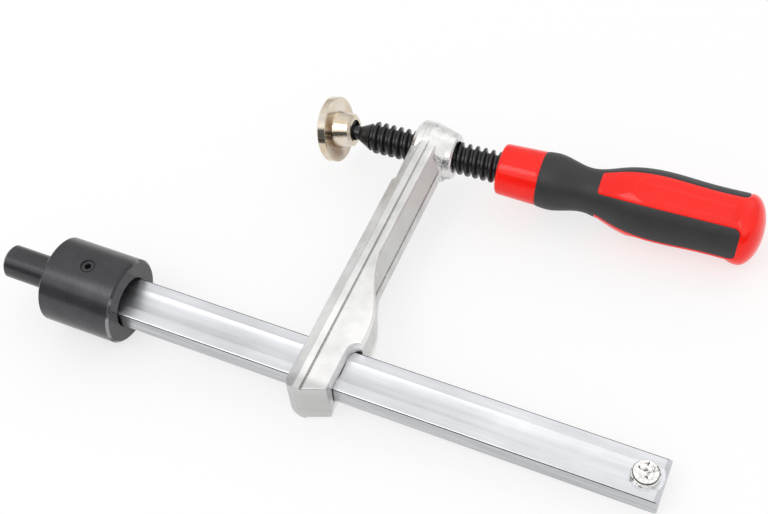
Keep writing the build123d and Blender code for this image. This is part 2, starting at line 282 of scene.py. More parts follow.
def grouped(tree, name, build, outputs, **values):
    """Output sockets of a shared node group placed in a tree, its inputs filled: a Vector, and floats for the rest.

    On first use, build(group, given, result) lays the group's nodes between its input and its output sockets.
    """
    if name not in bpy.data.node_groups:
        group = bpy.data.node_groups.new(name, "ShaderNodeTree")
        for key in values:
            kind = "NodeSocketVector" if key == "Vector" else "NodeSocketFloat"
            group.interface.new_socket(key.replace("_", " "), in_out="INPUT", socket_type=kind)
        for label in outputs:
            group.interface.new_socket(label, in_out="OUTPUT", socket_type="NodeSocketFloat")
        build(group, group.nodes.new("NodeGroupInput").outputs, group.nodes.new("NodeGroupOutput").inputs)
    made = tree.nodes.new("ShaderNodeGroup")
    made.node_tree = bpy.data.node_groups[name]
    feed(tree, made, **values)
    return tuple(made.outputs)


def build_mottle(tree, given, result):
    """Two noises of different size: uneven patches and fine grain."""
    for scale, label, detail in (("Patch Scale", "Patches", 3.0), ("Grain Scale", "Grain", 4.0)):
        noise = node(tree, "ShaderNodeTexNoise", Detail=detail, Roughness=0.6, Vector=given["Vector"],
                     Scale=given[scale])
        tree.links.new(noise.outputs["Fac"], result[label])


def mottle(tree, vector, patch_scale, grain_scale):
    """Sockets of uneven patches and fine grain, from their group."""
    return grouped(tree, "Mottle", build_mottle, ("Patches", "Grain"),
                   Vector=vector, Patch_Scale=patch_scale, Grain_Scale=grain_scale)


def build_drawn(tree, given, result):
    """Two noises stretched along X: fine lines, and broader streaks."""
    for stretch, share, label in ((0.02, 1.0, "Lines"), (0.05, 0.18, "Streaks")):
        squeeze = node(tree, "ShaderNodeMapping", Vector=given["Vector"], Scale=(stretch, 1.0, 1.0))
        noise = node(tree, "ShaderNodeTexNoise", Detail=3.0, Roughness=0.65, Vector=squeeze.outputs["Vector"],
                     Scale=product(tree, given["Line Scale"], share))
        tree.links.new(noise.outputs["Fac"], result[label])


def drawn(tree, vector, line_scale):
    """Sockets of fine lines and of streaks that run along the vector's X, from their group."""
    return grouped(tree, "Drawn Lines", build_drawn, ("Lines", "Streaks"), Vector=vector, Line_Scale=line_scale)


def build_band(tree, given, result):
    """1 within a half width of a line on one coordinate, falling to 0 over a soft edge beside it."""
    away = math(tree, "ABSOLUTE", math(tree, "SUBTRACT", given["Coordinate"], given["Middle"]))
    over = math(tree, "DIVIDE", math(tree, "SUBTRACT", given["Half Width"], away), given["Softness"])
    tree.links.new(math(tree, "ADD", over, 1.0, clamp=True), result["Mask"])


def band(tree, coordinate, middle, half_width, softness):
    """Mask of a soft band on a coordinate socket, in metres, from its group. The half width may be a socket."""
    return grouped(tree, "Soft Band", build_band, ("Mask",),
                   Coordinate=coordinate, Middle=middle, Half_Width=half_width, Softness=softness)[0]


def object_place(tree, turn=0.0):
    """Object coordinates turned about Z: returns the vector output."""
    place = tree.nodes.new("ShaderNodeTexCoord").outputs["Object"]
    return node(tree, "ShaderNodeMapping", Rotation=(0.0, 0.0, turn), Vector=place).outputs["Vector"]


def relief(tree, surface, *heights):
    """Chain of Bump nodes, each (height socket, strength, distance in metres), into the surface's normal."""
    last = None
    for height, strength, distance in heights:
        bump = node(tree, "ShaderNodeBump", Strength=strength, Distance=distance, Height=height)
        if last is not None:
            feed(tree, bump, Normal=last)
        last = bump.outputs["Normal"]
    feed(tree, surface, Normal=last)


def finished(piece, material):
    """Gives every material slot of the piece the material."""
    slots = piece.data.materials
    if not len(slots):
        slots.append(material)
    for i in range(len(slots)):
        slots[i] = material


def settled(piece, material, body, slot, *nodes):
    """The piece gets its material, rides on its body, and stands for the CAD nodes, which it hides. The slot is not
    used.
    """
    finished(piece, material)
    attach(piece, body)
    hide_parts(*nodes)


# Sizes and colours that a user may change

COLOUR = {"subtype": "COLOR", "size": 3, "min": 0.0, "max": 1.0}
DEPTH = {"subtype": "DISTANCE", "unit": "LENGTH", "min": 0.0, "precision": 5}
SHARE = {"subtype": "FACTOR", "min": 0.0, "max": 1.0}


class ClampHandleSettings(bpy.types.PropertyGroup):
    """Handle's finish."""

    panel_red: bpy.props.FloatVectorProperty(
        name="Panel red", description="Colour of the hard plastic", default=(1.0, 0.011, 0.004), **COLOUR,
    )
    grip_black: bpy.props.FloatVectorProperty(
        name="Grip black", description="Colour of the soft overmould", default=(0.017, 0.0165, 0.018), **COLOUR,
    )
    hollow_depth: bpy.props.FloatProperty(
        name="Hollow depth", description="Depth of the thumb hollow in each hard panel",
        default=0.0013, max=0.002, **DEPTH,
    )
    seam_depth: bpy.props.FloatProperty(
        name="Seam depth", description="Depth of the parting line between the two plastics",
        default=0.00022, max=0.001, **DEPTH,
    )


class ClampMetalSettings(bpy.types.PropertyGroup):
    """Finish of the metal pieces."""

    zinc: bpy.props.FloatVectorProperty(
        name="Zinc", description="Colour of the plated bar", default=(0.72, 0.73, 0.755), **COLOUR,
    )
    forging: bpy.props.FloatVectorProperty(
        name="Forging", description="Colour of the sliding arm", default=(0.68, 0.675, 0.67), **COLOUR,
    )
    oxide: bpy.props.FloatVectorProperty(
        name="Black oxide", description="Colour of collar, pin and screw", default=(0.050, 0.049, 0.053), **COLOUR,
    )
    champagne: bpy.props.FloatVectorProperty(
        name="Champagne", description="Colour of the pressure pad", default=(0.76, 0.70, 0.61), **COLOUR,
    )
    crest_round: bpy.props.FloatProperty(
        name="Crest rounding", description="How round the thread's crests are, from flat to round",
        default=0.75, **SHARE,
    )


class ClampStageSettings(bpy.types.PropertyGroup):
    """Studio."""

    sky_level: bpy.props.FloatProperty(
        name="Sky level", description="Light from all round", default=0.95, min=0.0, max=2.0,
    )
    wall_tone: bpy.props.FloatProperty(
        name="Wall tone", description="How pale the room's walls are in reflections", default=0.66, **SHARE,
    )
    key_power: bpy.props.FloatProperty(
        name="Key power", description="Power of the large soft lamp", subtype="POWER", unit="POWER",
        default=2.2, min=0.0, max=100.0,
    )
    floor_tone: bpy.props.FloatProperty(
        name="Floor tone", description="How pale the floor is", default=0.93, **SHARE,
    )
    floor_glow: bpy.props.FloatProperty(
        name="Floor glow", description="Share of plain white that the camera sees in the floor",
        default=0.68, **SHARE,
    )


# Materials. Places are in metres: a pair is where a change starts and ends, a triple is a band's middle, its half
# width and its softness.

# Bar: |Y| + |Z| on the far corner's bevel, |Z| and |Y| of the near edge, |Y| where the sides begin, and Y from the
# near half to the far half
FAR_CORNER = (0.01542, 0.00024, 0.00006)
NEAR_EDGE_Z, NEAR_EDGE_Y = (0.00478, 0.00020, 0.00006), (0.0106, 0.0003, 0.0001)
BAR_SIDE, FAR_HALF = (0.0102, 0.0105), (-0.001, 0.001)


def zinc_finish(settings):
    """Bright zinc drawn lengthwise: streaks along X, cloudy patches, and sides darkened by streaks and by painted
    shade.

    A thin dark line runs along each corner, on the bevel at the far side and beside it at the near side.
    """
    zinc = settings.zinc
    material, tree, surface = finish_of("Bright zinc", zinc, 1.0, 0.3)
    place = object_place(tree)
    lines, streaks = drawn(tree, place, 1600.0)
    patches, grain = mottle(tree, place, 26.0, 700.0)
    _, y, z = xyz(tree, place)
    wide, high = math(tree, "ABSOLUTE", y), math(tree, "ABSOLUTE", z)
    clouds = rise(tree, product(tree, streaks, patches), 0.12, 0.42)
    plain = tint(tree, clouds, scaled(zinc, 0.86), scaled(zinc, 1.10))
    # Painted shade: the sides are darkened all along, and more along the streaks.
    side_streaks_and_shade = product(tree, ramp(tree, streaks, 0.45, 1.0, 0.42, 0.58), rise(tree, wide, *BAR_SIDE))
    plain = tint(tree, side_streaks_and_shade, plain, scaled(zinc, 0.68))
    far = rise(tree, y, *FAR_HALF)
    far_line = product(tree, band(tree, math(tree, "ADD", wide, high), *FAR_CORNER), far)
    near_line = product(tree, band(tree, high, *NEAR_EDGE_Z), band(tree, wide, *NEAR_EDGE_Y),
                        math(tree, "SUBTRACT", 1.0, far))
    dark_lines = product(tree, largest(tree, far_line, near_line), ramp(tree, grain, 0.75, 1.0, 0.35, 0.6))
    feed(tree, surface, Base_Color=tint(tree, dark_lines, plain, (0.05, 0.05, 0.055)),
         Roughness=ramp(tree, patches, 0.22, 0.38, 0.3, 0.7))
    relief(tree, surface, (lines, 0.10, 0.0002), (grain, 0.05, 0.0001))
    return material


# Arm, along X: front rim, bevel, its crest, corner behind the flange, pocket beside the web, corner along the web,
# scuffed place. The line behind the flange thins from one half width to another between two places in Y.
RIM_X, BEVEL_X, CREST_X = (0.1256, 0.00022, 0.00012), (0.1306, 0.1311), (0.1311, 0.00008, 0.00010)
FLANGE_X, FLANGE_SOFT, FLANGE_THINS = 0.1347, 0.00030, (0.00040, 0.00008, -0.018, 0.120)
POCKET_X, WEB_X, SCUFF_X = (0.1410, 0.0022, 0.0006), (0.1430, 0.00022, 0.00020), (0.1432, 0.0032, 0.0012)
# Arm, along Y, from the foot to the boss
FOOT_Y, WEB_START, WEDGE_Y, POCKET_Y = (-0.0150, -0.0115), (0.016, 0.020), (0.026, 0.060), (0.030, 0.060)
BOSS_Y, WEB_END, SCUFF_Y = (0.114, 0.120), (0.116, 0.119), (0.1218, 0.0011, 0.0007)
# Arm, away from its middle plane
SCUFF_Z, WEDGE_Z, CREST_Z = (0.002, 0.004), (0.0070, 0.0090), (0.0128, 0.0133)
WEB_Z, POCKET_Z, FLANGE_Z = (0.0037, 0.0006, 0.0001), (0.0077, 0.0040, 0.0008), (0.0130, 0.0006, 0.0001)


def forged_finish(settings):
    """Plated forging: an uneven grain with pits and soft patches.

    The pocket beside the web is cooler, rougher and less metallic. The front bevel and the wedge are whiter, a
    painted highlight, the foot is darker, and the boss is paler, also a painted highlight, smoother and lumpy as
    cast, with dark streaks low on it. Lines of painted shade run along the front rim, the bevel's crest, the corner
    behind the flange and the corner along the web.
    """
    forging = settings.forging
    material, tree, surface = finish_of("Plated forging", forging, 1.0, 0.34)
    place = object_place(tree)
    patches, grain = mottle(tree, place, 90.0, 1100.0)
    strokes, _ = drawn(tree, place, 1500.0)
    pits = node(tree, "ShaderNodeTexVoronoi", Scale=420.0, Vector=place)
    cast = node(tree, "ShaderNodeTexNoise", Scale=240.0, Detail=4.0, Roughness=0.62, Distortion=0.6, Vector=place)
    x, y, z = xyz(tree, place)
    high = math(tree, "ABSOLUTE", z)

    pocket = product(tree, band(tree, high, *POCKET_Z), band(tree, x, *POCKET_X), rise(tree, y, *POCKET_Y, 0.7))
    # Painted highlight: the front bevel, and the wedge towards the foot, are whitened in the tints below.
    bevel = product(tree, fall(tree, x, *BEVEL_X, 0.55), ramp(tree, patches, 0.4, 1.0, 0.35, 0.6))
    wedge = product(tree, fall(tree, y, *WEDGE_Y), rise(tree, high, *WEDGE_Z),
                    ramp(tree, patches, 0.55, 0.85, 0.30, 0.65))
    boss = rise(tree, y, *BOSS_Y)
    scuff = product(tree, band(tree, y, *SCUFF_Y), band(tree, x, *SCUFF_X),
                    ramp(tree, strokes, 0.25, 0.9, 0.42, 0.58), rise(tree, high, *SCUFF_Z))
    colour = tint(tree, rise(tree, patches, 0.3, 0.7), scaled(forging, 0.84), scaled(forging, 1.14))
    for mask, over in (
        (pocket, scaled(forging, (1.04, 1.09, 1.06))),
        (largest(tree, bevel, wedge), scaled(forging, 1.38)),
        (fall(tree, y, *FOOT_Y, 0.8), scaled(forging, 0.78)),
        # Painted highlight: the boss is paler in patches.
        (product(tree, boss, ramp(tree, patches, 0.4, 1.0, 0.35, 0.55)), scaled(forging, 1.15)),
        (scuff, (0.24, 0.23, 0.23)),
    ):
        colour = tint(tree, mask, colour, over)

    # Lines of painted shade: behind the flange, along the web, on the front rim and on the bevel's crest.
    flange = band(tree, x, FLANGE_X, ramp(tree, y, *FLANGE_THINS), FLANGE_SOFT)
    flange = product(tree, flange, band(tree, high, *FLANGE_Z))
    web = product(tree, band(tree, x, *WEB_X), band(tree, high, *WEB_Z), fall(tree, y, *WEB_END),
                  rise(tree, y, *WEB_START))
    rim = product(tree, band(tree, x, *RIM_X), 0.75)
    crest = product(tree, band(tree, x, *CREST_X), rise(tree, high, *CREST_Z, 0.55))
    dark_lines = product(tree, largest(tree, flange, web, rim, crest), ramp(tree, grain, 0.36, 0.70, 0.3, 0.6))

    rough = math(tree, "SUBTRACT", ramp(tree, grain, 0.34, 0.50, 0.3, 0.7), product(tree, boss, 0.17))
    feed(tree, surface, Base_Color=tint(tree, dark_lines, colour, (0.14, 0.135, 0.13)),
         Roughness=math(tree, "ADD", rough, product(tree, pocket, 0.38)), Metallic=ramp(tree, pocket, 1.0, 0.60))
    relief(tree, surface, (product(tree, cast.outputs["Fac"], boss), 0.40, 0.0010), (patches, 0.30, 0.0007),
           (pits.outputs["Distance"], 0.16, 0.0002), (grain, 0.22, 0.00015))
    return material


# Collar: X plus radius on its front edge's bevel; grub screw's middle and the edge of its hole
COLLAR_EDGE, GRUB_AT, GRUB_EDGE = (0.05650, 0.00008, 0.00012), (0.0193, 0.0, 0.0), (0.00318, 0.00022, 0.00010)
GRUB_TOP = (0.0, 0.010)


def collar_wear_and_shade(tree, place, patches, base):
    """The base colour with the oxide rubbed off the front edge in spots, and a ring of painted shade round the grub
    screw's hole.
    """
    along, radius = from_axis(tree, place, (0.0, 0.0, 0.0), (1.0, 0.0, 0.0))
    edge = band(tree, math(tree, "ADD", radius, along), *COLLAR_EDGE)
    base = tint(tree, product(tree, edge, rise(tree, patches, 0.46, 0.56)), base, (0.34, 0.34, 0.35))
    height, away = from_axis(tree, place, GRUB_AT, (0.0, 0.0, 1.0))
    # Painted shade: a dark ring round the grub screw's hole.
    ring = product(tree, band(tree, away, *GRUB_EDGE), rise(tree, height, *GRUB_TOP))
    return tint(tree, ring, base, (0.005, 0.005, 0.006))


def oxide_finish(name, settings, roughness, worn_and_shaded=False, tone=1.0):
    """Black oxide over turned steel: faint rings round X, rubbed patches, and the collar's wear and painted shade if
    asked.
    """
    oxide = scaled(settings.oxide, tone)
    material, tree, surface = finish_of(name, oxide, 0.55, roughness)
    place = object_place(tree)
    patches, grain = mottle(tree, place, 70.0, 900.0)
    rings, _ = drawn(tree, object_place(tree, radians(90.0)), 900.0)
    base = tint(tree, rise(tree, patches, 0.42, 0.78), oxide, scaled(oxide, 1.45))
    if worn_and_shaded:
        base = collar_wear_and_shade(tree, place, patches, base)
    feed(tree, surface, Base_Color=base, Roughness=ramp(tree, grain, roughness - 0.06, roughness + 0.10, 0.3, 0.7))
    relief(tree, surface, (rings, 0.06, 0.0001), (grain, 0.10, 0.0001))
    return material


# Pad: its axis and the middle of its rear face's plane; the rear face along the axis; the hub's root round the axis
# and down Y; the low part down Z
PAD_MIDDLE, PAD_AXIS = (0.088039, 0.130267, 0.0), (0.967589, 0.072753, 0.241822)
PAD_REAR, HUB_ROOT, ROOT_Y, LOW_Z = (-0.0033, 0.0003, 0.0001), (0.0120, 0.0163), (0.1235, 0.1290), (-0.0110, 0.0020)


def pad_finish(settings):
    """Pale champagne plating, turned and polished: rings round the axis and soft stains.

    Brown painted reflections darken the disc's rear face at the hub's root and low down.
    """
    champagne = settings.champagne
    material, tree, surface = finish_of("Champagne plating", champagne, 1.0, 0.2)
    rings, _ = drawn(tree, object_place(tree, radians(90.0) - SCREW_LEAN), 700.0)
    patches, grain = mottle(tree, object_place(tree, -SCREW_LEAN), 110.0, 1300.0)
    place = object_place(tree)
    along, radius = from_axis(tree, place, PAD_MIDDLE, PAD_AXIS)
    _, y, z = xyz(tree, place)
    plain = tint(tree, rise(tree, patches, 0.35, 0.7), champagne, scaled(champagne, (0.86, 0.78, 0.66)))
    # Painted reflection: brown on the rear face near the hub's root and lower down.
    root = product(tree, ramp(tree, radius, 1.0, 0.3, *HUB_ROOT), fall(tree, y, *ROOT_Y), 0.82)
    low = fall(tree, z, *LOW_Z, 0.32)
    painted_reflection = product(tree, band(tree, along, *PAD_REAR), largest(tree, root, low))
    feed(tree, surface, Base_Color=tint(tree, painted_reflection, plain, (0.20, 0.115, 0.065)),
         Roughness=ramp(tree, grain, 0.06, 0.14, 0.3, 0.7))
    relief(tree, surface, (rings, 0.06, 0.0001), (patches, 0.10, 0.0003), (grain, 0.05, 0.0001))
    return material


# Rivet, in mm: its place in X and Y, the height of its cap, and the band of painted shade round it in metres
RIVET_AT, RIVET_TOP, CHANNEL = (281.9, 0.0), 8.25, (0.00550, 0.00014, 0.00006)


def peened_finish():
    """Bright hammered steel with dark grey patches of painted reflection and a ring of painted shade in the channel
    round the cap.
    """
    material, tree, surface = finish_of("Peened steel", (0.72, 0.72, 0.72), 1.0, 0.25)
    place = object_place(tree)
    patches, grain = mottle(tree, place, 420.0, 1500.0)
    # Painted reflection: dark grey patches over the bright steel.
    steel = tint(tree, rise(tree, patches, 0.37, 0.45), (0.14, 0.135, 0.12), (0.90, 0.89, 0.87))
    _, radius = from_axis(tree, place, (RIVET_AT[0] * MM, RIVET_AT[1] * MM, 0.0), (0.0, 0.0, 1.0))
    # Painted shade: a dark ring in the channel round the cap.
    dark_lines = product(tree, band(tree, radius, *CHANNEL), 0.85)
    feed(tree, surface, Base_Color=tint(tree, dark_lines, steel, (0.05, 0.05, 0.045)))
    relief(tree, surface, (patches, 0.25, 0.0004), (grain, 0.15, 0.0002))
    return material


def spring_finish():
    """Dark spring steel with a faint grain."""
    material, tree, surface = finish_of("Spring steel", (0.10, 0.10, 0.11), 1.0, 0.35)
    patches, grain = mottle(tree, object_place(tree), 300.0, 2000.0)
    feed(tree, surface, Base_Color=tint(tree, patches, (0.07, 0.07, 0.08), (0.14, 0.14, 0.15)))
    relief(tree, surface, (grain, 0.1, 0.0001))
    return material


def panel_finish(settings):
    """Glossy hard plastic: even colour, a slight orange peel and a few dull handling marks."""
    red = settings.panel_red
    material, tree, surface = finish_of("Glossy red plastic", red, 0.0, 0.22)
    patches, grain = mottle(tree, object_place(tree), 55.0, 420.0)
    feed(tree, surface, Base_Color=tint(tree, rise(tree, patches, 0.3, 0.7), scaled(red, 0.86), red),
         Roughness=ramp(tree, grain, 0.08, 0.17, 0.35, 0.7), Specular_IOR_Level=0.36)
    relief(tree, surface, (grain, 0.05, 0.0002))
    return material


def grip_finish(settings):
    """Soft overmould: matte, fine moulded grain, paler where dust and hands have dulled it."""
    black = settings.grip_black
    material, tree, surface = finish_of("Soft charcoal grip", black, 0.0, 0.62)
    patches, grain = mottle(tree, object_place(tree), 45.0, 1500.0)
    feed(tree, surface, Base_Color=tint(tree, rise(tree, patches, 0.35, 0.75), black, scaled(black, 1.5)),
         Roughness=ramp(tree, grain, 0.42, 0.58, 0.3, 0.7))
    relief(tree, surface, (grain, 0.25, 0.0002))
    return material


# Shapes, in mm

# Screw, along its axis from the boss's front face: the thread's start, the handle's front face, the ball's middle
THREAD_START, HANDLE_AT, BALL_AT = -28.1, 43.5, -38.2
PITCH, START_TURN, RIDGE = 4.0, radians(-153.0), 2.1
BALL_RADIUS, NECK_RADIUS, CORE_RADIUS, CREST_RADIUS, TANG_RADIUS, TANG_FLAT = 4.7, 3.5, 5.9, 8.0, 5.4, 4.4
# How far before the thread's start its core begins to grow, how much it and the crest grow by the mm, and the
# crest's radius at the start
LEAD, CORE_SLOPE, LEAD_SLOPE, LEAD_RADIUS = 2.9, 0.42, 0.52, 4.6
# Step between the thread's rows, how far they go into the handle, a margin under the step, the wave's shares for root
# and crest, the tang's length and end bevel, where the neck begins behind the ball's middle
THREAD_STEP, THREAD_PAST, MARGIN, ROOT_SHARE, CREST_SHARE = 0.22, 0.3, 0.05, 0.10, 0.10
TANG_LENGTH, TANG_BEVEL, NECK_FROM = 44.0, 0.6, 4.2


def screw_surface(crest_round):
    """Grid of the screw: its core's profile along the axis, plus a ridge that moves on by the pitch for each turn.

    The thread is right-handed. Its ridge is a raised cosine flattened at its crest and root. On the lead cone both
    the core and the ridge grow in a straight line. Behind the handle's front face the section is a round with two
    flats.
    """
    turn = np.linspace(0.0, 2 * pi, 72, endpoint=False)[None, :]
    swing = np.linspace(0.02, pi - np.arcsin(NECK_RADIUS / BALL_RADIUS), 20)
    ball_rows = np.stack([BALL_AT - BALL_RADIUS * np.cos(swing), BALL_RADIUS * np.sin(swing)], axis=1)
    thread_from, thread_to = THREAD_START - LEAD, HANDLE_AT + THREAD_PAST
    neck_rows = [(BALL_AT + NECK_FROM, NECK_RADIUS), (thread_from - 0.2, NECK_RADIUS)]
    thread_along = np.arange(thread_from, thread_to, THREAD_STEP)
    grown = NECK_RADIUS + CORE_SLOPE * (thread_along - thread_from)
    thread_rows = np.stack([thread_along, np.clip(grown, NECK_RADIUS, CORE_RADIUS)], axis=1)
    tang_end = HANDLE_AT + TANG_LENGTH
    tang_rows = [(thread_to, TANG_RADIUS), (tang_end - TANG_BEVEL, TANG_RADIUS),
                 (tang_end, TANG_RADIUS - TANG_BEVEL)]
    along, core = np.vstack([ball_rows, neck_rows, thread_rows, tang_rows]).T
    along, core = along[:, None], core[:, None]
    phase = (along - THREAD_START) / PITCH - (turn - START_TURN) / (2 * pi)
    wave = 0.5 + 0.5 * np.cos(2 * pi * phase)
    ridge = RIDGE * smooth((wave - ROOT_SHARE) / (1 - ROOT_SHARE - CREST_SHARE))
    ridge = ridge * (1 - 0.06 * crest_round * (1 - wave))
    lead = np.clip(LEAD_RADIUS + LEAD_SLOPE * (along - THREAD_START), NECK_RADIUS, CREST_RADIUS)
    tang = along > thread_to - MARGIN
    on_thread = (along > thread_from - MARGIN) & ~tang
    radius = np.where(on_thread, np.minimum(core + ridge, lead), core)
    flats = np.minimum(radius, TANG_FLAT / np.maximum(np.abs(np.cos(turn)), 1e-6))
    radius = np.where(tang, flats, radius)
    return on_screw(along, radius, turn)


# Rivet: the cap's radius and the rounding of its edge, radius and height of the channel beside it, middle of the
# lip's rounding and its half axes, head and shank radius, height of the head's underside, rise of the crown
CAP_RADIUS, CAP_EDGE, CHANNEL_RADIUS, CHANNEL_HEIGHT = 5.1, 0.45, [5.38, 5.42], [7.2, 6.95]
LIP_RADIUS, LIP_HEIGHT, LIP_WIDE, LIP_HIGH = 5.6, 6.4, 0.5, 0.4
HEAD_RADIUS, SHANK_RADIUS, HEAD_UNDER, CROWN = 6.1, 3.0, 4.35, 0.25
# Hammer dents: X, Y, width and depth
DENTS = np.array([
    (0.4, 0.9, 1.5, 0.62), (-2.2, 1.4, 1.3, 0.54), (2.6, 1.8, 1.2, 0.50), (-0.9, -1.8, 1.6, 0.66),
    (2.0, -1.7, 1.3, 0.54), (-3.4, -1.0, 1.1, 0.44), (0.6, 3.6, 1.2, 0.52), (4.1, -0.2, 1.1, 0.44),
    (-1.6, 4.1, 1.0, 0.38), (1.1, -4.2, 1.1, 0.44), (-3.7, 3.0, 0.9, 0.34), (3.5, 3.7, 0.9, 0.32),
    (-2.9, -3.6, 1.0, 0.38),
])


def rivet_surface():
    """Grid of the stop rivet: a turned profile of two heads on a shank, each a cap over a rolled lip, with dents.

    A dent is a bell of its depth and width round its middle. The height above the bar falls by the deepest one there.
    """
    cap = np.linspace(0.0, CAP_RADIUS, 30)[1:]
    bend = np.linspace(0.5 * pi, 0.0, 8)[1:]
    lip = np.linspace(0.5 * pi, 0.0, 6)
    head_r = np.concatenate([cap, CAP_RADIUS + CAP_EDGE * np.cos(bend), CHANNEL_RADIUS,
                             LIP_RADIUS + LIP_WIDE * np.cos(lip), [HEAD_RADIUS, SHANK_RADIUS]])
    head_z = np.concatenate([np.full(len(cap), RIVET_TOP), RIVET_TOP - CAP_EDGE + CAP_EDGE * np.sin(bend),
                             CHANNEL_HEIGHT, LIP_HEIGHT + LIP_HIGH * np.sin(lip), [HEAD_UNDER, HEAD_UNDER]])
    turn = np.linspace(0.0, 2 * pi, 96, endpoint=False)[None, :]
    radius = np.concatenate([head_r, head_r[::-1]])[:, None]
    height = np.concatenate([head_z, -head_z[::-1]])[:, None]
    wobble = 1 + 0.012 * np.sin(2 * turn + 0.6) + 0.008 * np.sin(5 * turn)
    x = radius * wobble * np.cos(turn)
    y = radius * wobble * np.sin(turn)
    away = np.hypot(x[..., None] - DENTS[:, 0] * np.sign(height)[..., None], y[..., None] - DENTS[:, 1])
    dent = (DENTS[:, 3] * np.exp(-((away / DENTS[:, 2]) ** 4))).max(axis=-1)
    crown = CROWN * (1 - (radius / HEAD_RADIUS) ** 2)
    top = (np.abs(height) > RIVET_TOP - CAP_EDGE + 0.01) * smooth((LIP_RADIUS - radius) / LIP_WIDE)
    height = np.sign(height) * (np.abs(height) - top * (dent - crown + CROWN))
    return np.stack([RIVET_AT[0] + x, RIVET_AT[1] + y, height], axis=-1) * MM


# Handle, along its axis from its front face
GRIP_STATIONS = [(20.5, 13.4), (27.0, 13.9), (43.5, 10.9), (58.5, 14.9), (79.0, 17.8), (99.0, 17.0), (118.5, 17.1)]
FERRULE_END, PANEL_START, PANEL_END, TAIL, HANDLE_END = 20.5, 49.5, 117.3, 118.5, 127.5
FERRULE_FRONT, FERRULE_ROUND, TAIL_RADIUS = 12.55, 1.5, GRIP_STATIONS[-1][1]
PANEL_TURN, PANEL_COUNT = radians(100.0), 3
# Corner radii of a panel, of the grip's tail and of a thumb hollow; where the hollow starts; its distance from the
# panel's sides and end; how far in from its edge it reaches its depth
PANEL_CORNER, TAIL_CORNER, HOLLOW_CORNER, HOLLOW_START = 1.3, 3.5, 6.8, 66.0
HOLLOW_SIDE, HOLLOW_TAIL, HOLLOW_SLOPE = 1.6, 1.5, 3.8
# Depth of a panel's dish, the width of the rim outside it and of its slope
DISH_DEPTH, DISH_RIM, DISH_SLOPE = 0.22, 0.75, 0.55
# Depth of the step under the grip and of the grip's inner face, the grip's drop outside its edge, where and over
# what width both change, the bell's width at the parting line, how far past the edge the grip's cells are kept
STEP_DEPTH, GRIP_DEEP, GRIP_DROP, STEP_AT, STEP_WIDE, SEAM_WIDE, KEPT_PAST = 2.0, 2.2, 0.5, 0.02, 0.25, 0.45, 0.22


def corner(a, b, radius):
    """Signed distance to two half planes' common part, negative inside, with its corner rounded."""
    x, y = a + radius, b + radius
    return np.hypot(np.maximum(x, 0.0), np.maximum(y, 0.0)) + np.minimum(np.maximum(x, y), 0.0) - radius


def handle_grid():
    """Rows along the handle and columns round it, crowded at the panels' ends and sides, and the radius there.

    The profile is a rounded ferrule, a spline through the grip's stations, and half an ellipse for the domed end.
    """
    rows = [np.array([0.0, 0.02, 0.15, 0.35, 0.6, 0.9, 1.2, 1.6])]
    for start, end, count in ((1.8, FERRULE_END, 26), (FERRULE_END, PANEL_START, 40), (PANEL_START, PANEL_END, 96)):
        rows.append(start + (end - start) * crowded(count))
    rows.append(np.array([PANEL_END, PANEL_END + 0.3, PANEL_END + 0.7]))
    dome = np.linspace(0.0, 0.5 * pi, 34)[:-1]
    rows.append(TAIL + (HANDLE_END - TAIL) * np.sin(dome))
    along = np.concatenate(rows)
    ferrule = np.interp(along, (0.0, FERRULE_END), (FERRULE_FRONT, GRIP_STATIONS[0][1]))
    before = 1 - np.clip(along / FERRULE_ROUND, 0, 1)
    ferrule -= FERRULE_ROUND * (1 - np.sqrt(np.clip(1 - before**2, 0, 1)))
    radius = np.where(along < FERRULE_END, ferrule, curve_through(GRIP_STATIONS, np.clip(along, FERRULE_END, TAIL)))
    end = np.clip((along - TAIL) / (HANDLE_END - TAIL), 0, 1)
    radius = np.where(along > TAIL, TAIL_RADIUS * np.sqrt(1 - end**2), radius)
    sector = crowded(28, 0.75) * pi / PANEL_COUNT
    turn = np.concatenate([sector + k * pi / PANEL_COUNT for k in range(2 * PANEL_COUNT)])
    turn = turn + PANEL_TURN - pi / (2 * PANEL_COUNT)
    return along[:, None], turn[None, :], radius[:, None]


def grip_depth(along, turn, radius):
    """Distance in mm into the soft grip from its edge, negative on the hard body; turn from the nearest panel."""
    third = 2 * pi / PANEL_COUNT
    off = np.abs((turn - PANEL_TURN + third / 2) % third - third / 2)
    side = radius * (off - third / 4)
    panel = corner(PANEL_START - along, side, PANEL_CORNER)
    grip = corner(-panel, along - PANEL_END, TAIL_CORNER)
    grip = np.maximum(grip, FERRULE_END - along)
    return -grip, off


